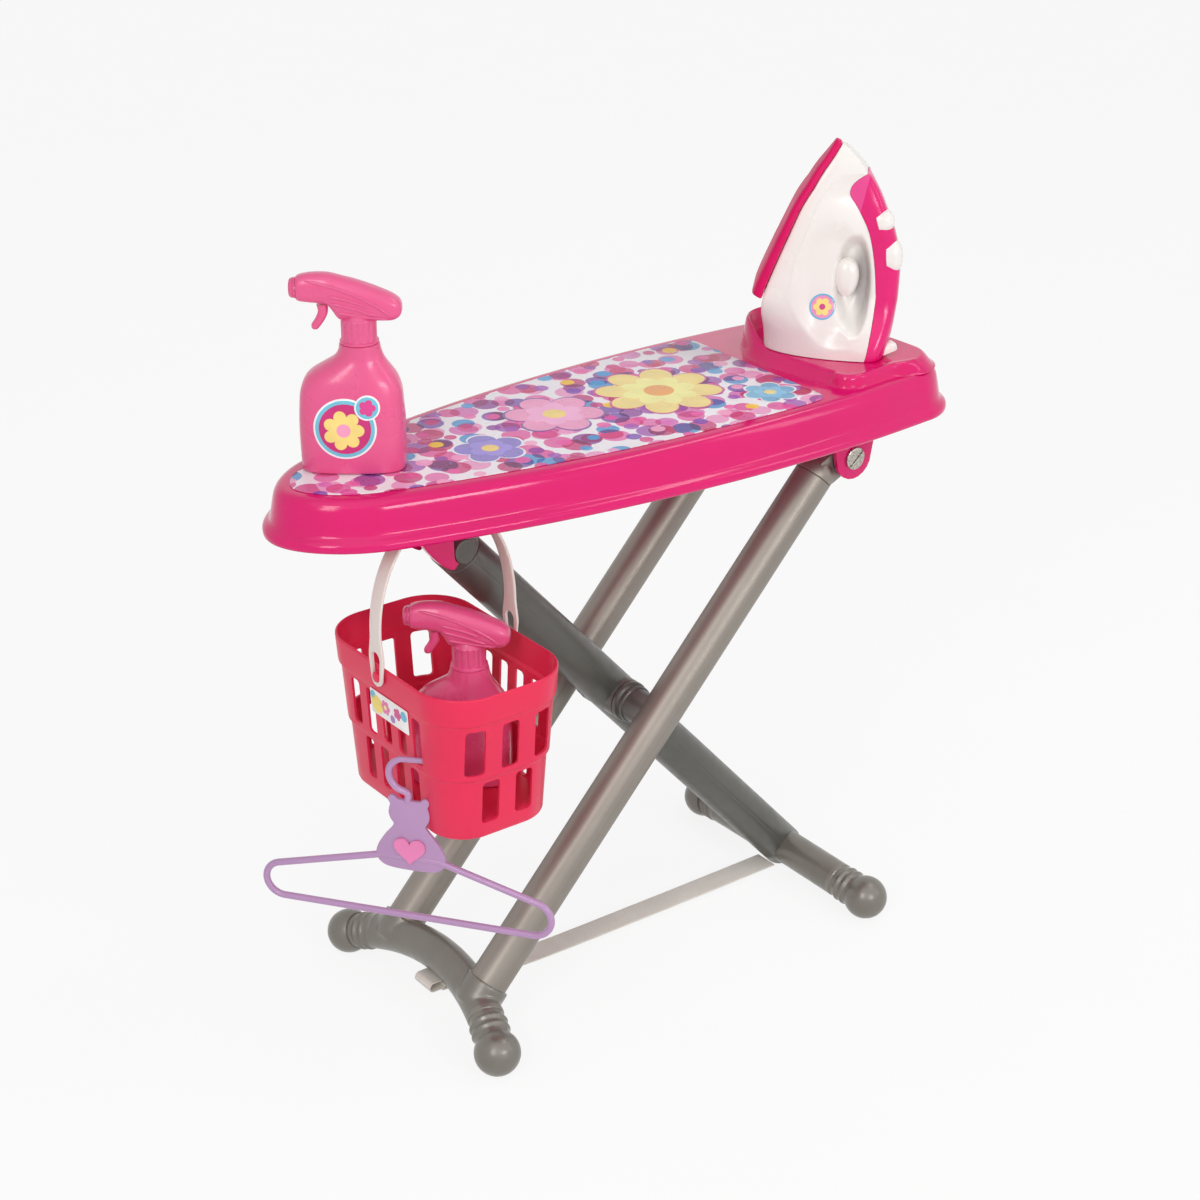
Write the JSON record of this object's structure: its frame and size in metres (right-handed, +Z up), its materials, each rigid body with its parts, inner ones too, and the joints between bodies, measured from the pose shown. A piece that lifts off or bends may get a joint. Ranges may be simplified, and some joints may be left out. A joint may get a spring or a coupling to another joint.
{
  "type": "toy ironing board",
  "caption": "Toy ironing board with crossed folding legs, a hung basket and a rest for its toy iron, with spray bottles and a clothes hanger",
  "frame": {"origin": "on the floor under the stand's plane of symmetry, midway between the two foot bars", "axes": "+Z up, +X along the board towards the wide end with the iron rest, +Y across the board away from the basket"},
  "size_m": [0.6029, 0.2937, 0.6573],
  "materials": {
    "pink": "glossy magenta moulding",
    "print": "printed sheet with dots",
    "silver": "satin champagne silver",
    "warm_grey": "satin warm grey",
    "dark_grey": "satin dark grey",
    "steel": "plated screw",
    "webbing": "woven strap",
    "white": "glossy white",
    "coral": "coral pink moulding",
    "rose": "mid pink moulding",
    "pale": "pale pink strap",
    "lilac": "lilac moulding"
  },
  "bodies": {
    "board": {"board_shell": "pink", "cover_sheet": "print", "leg_bracket_near": "pink", "leg_bracket_far": "pink", "latch_claw": "pink", "basket_hook": "pink", "pivot_screw_near": "steel", "pivot_screw_far": "steel"},
    "leg_a": {"leg_tube_near": "silver", "leg_tube_far": "silver", "tube_knuckle_near": "dark_grey", "tube_knuckle_far": "dark_grey", "foot_bar_a": "warm_grey", "foot_ball_a_near": "warm_grey", "foot_ball_a_far": "warm_grey", "cross_axle": "steel", "cross_sleeve_near": "dark_grey", "cross_sleeve_far": "dark_grey", "strap_loop": "webbing", "foot_strap": "webbing"},
    "leg_b": {"leg_post": "dark_grey", "leg_head": "dark_grey", "foot_bar_b": "warm_grey", "foot_ball_b_near": "warm_grey", "foot_ball_b_far": "warm_grey"},
    "iron": {"iron_body": "white", "iron_sole": "pink", "iron_spine": "pink", "iron_cord_guard": "white"},
    "iron_button_spray": {"iron_button_spray": "white"},
    "iron_button_steam": {"iron_button_steam": "white"},
    "iron_dial": {"iron_dial": "white"},
    "sprayer": {"sprayer_bottle": "rose", "sprayer_collar": "rose", "sprayer_head": "rose"},
    "sprayer_nozzle": {"sprayer_nozzle": "rose"},
    "sprayer_trigger": {"sprayer_trigger": "rose"},
    "bail": {"basket_bail": "pale"},
    "basket": {"basket_shell": "coral"},
    "basket_sprayer": {"basket_sprayer_bottle": "rose", "basket_sprayer_collar": "rose", "basket_sprayer_head": "rose"},
    "basket_sprayer_nozzle": {"basket_sprayer_nozzle": "rose"},
    "basket_sprayer_trigger": {"basket_sprayer_trigger": "rose"},
    "hanger": {"hanger_frame_rod": "lilac", "hanger_badge": "rose"}
  },
  "joints": [
    {"name": "leg_fold", "type": "hinge", "parent": "board", "child": "leg_a", "pos_m": [0.18698, 0, 0.41619], "axis": [0, -1, 0], "range_deg": [0, 37]},
    {"name": "leg_scissor", "type": "hinge", "parent": "leg_a", "child": "leg_b", "pos_m": [0.00236, 0, 0.23086], "axis": [0, -1, 0], "range_deg": [-74, 0], "deforming": ["foot_strap"]},
    {"name": "bail_swing", "type": "hinge", "parent": "board", "child": "bail", "pos_m": [-0.184, -0.04, 0.4538], "axis": [0, 1, 0], "range_deg": [-0.5, 6]},
    {"name": "basket_tilt", "type": "hinge", "parent": "bail", "child": "basket", "pos_m": [-0.184, -0.04, 0.334], "axis": [-1, 0, 0], "range_deg": [-2, 8]},
    {"name": "hanger_swing", "type": "hinge", "parent": "basket", "child": "hanger", "pos_m": [-0.23569, -0.0816, 0.2763], "axis": [0.8039, 0.5948, 0], "range_deg": [0, 8]},
    {"name": "basket_sprayer_lift", "type": "slide", "parent": "basket", "child": "basket_sprayer", "axis": [0, 0, 1], "range_m": [0, 0.02]},
    {"name": "basket_sprayer_nozzle_turn", "type": "hinge", "parent": "basket_sprayer", "child": "basket_sprayer_nozzle", "pos_m": [-0.20292, -0.02299, 0.3659], "axis": [-0.766, 0.6428, 0], "range_deg": [-90, 90]},
    {"name": "basket_sprayer_trigger_pull", "type": "hinge", "parent": "basket_sprayer", "child": "basket_sprayer_trigger", "pos_m": [-0.18737, -0.03604, 0.3533], "axis": [-0.6428, -0.766, 0], "range_deg": [0, 12], "stiffness_Nm_per_rad": 0.05},
    {"name": "iron_lift", "type": "slide", "parent": "board", "child": "iron", "axis": [0, 0, 1], "range_m": [0, 0.1]},
    {"name": "iron_spray_press", "type": "slide", "parent": "iron", "child": "iron_button_spray", "axis": [-0.6915, 0.6677, -0.2756], "range_m": [0, 0.0018], "stiffness_N_per_m": 300},
    {"name": "iron_steam_press", "type": "slide", "parent": "iron", "child": "iron_button_steam", "axis": [-0.7176, 0.693, -0.0698], "range_m": [0, 0.0018], "stiffness_N_per_m": 300},
    {"name": "iron_dial_turn", "type": "hinge", "parent": "iron", "child": "iron_dial", "pos_m": [0.20692, -0.03673, 0.5523], "axis": [-0.6947, -0.7193, 0], "range_deg": [-40, 40]},
    {"name": "sprayer_lift", "type": "slide", "parent": "board", "child": "sprayer", "axis": [0, 0, 1], "range_m": [0, 0.1]},
    {"name": "sprayer_nozzle_turn", "type": "hinge", "parent": "sprayer", "child": "sprayer_nozzle", "pos_m": [-0.25179, 0.03414, 0.6142], "axis": [-0.7986, 0.6018, 0], "range_deg": [-90, 90]},
    {"name": "sprayer_trigger_pull", "type": "hinge", "parent": "sprayer", "child": "sprayer_trigger", "pos_m": [-0.23558, 0.02193, 0.6016], "axis": [-0.6018, -0.7986, 0], "range_deg": [0, 12], "stiffness_Nm_per_rad": 0.05}
  ],
  "couplings": [
    {"joint": "leg_scissor", "follows": "leg_fold", "ratio": -2}
  ]
}
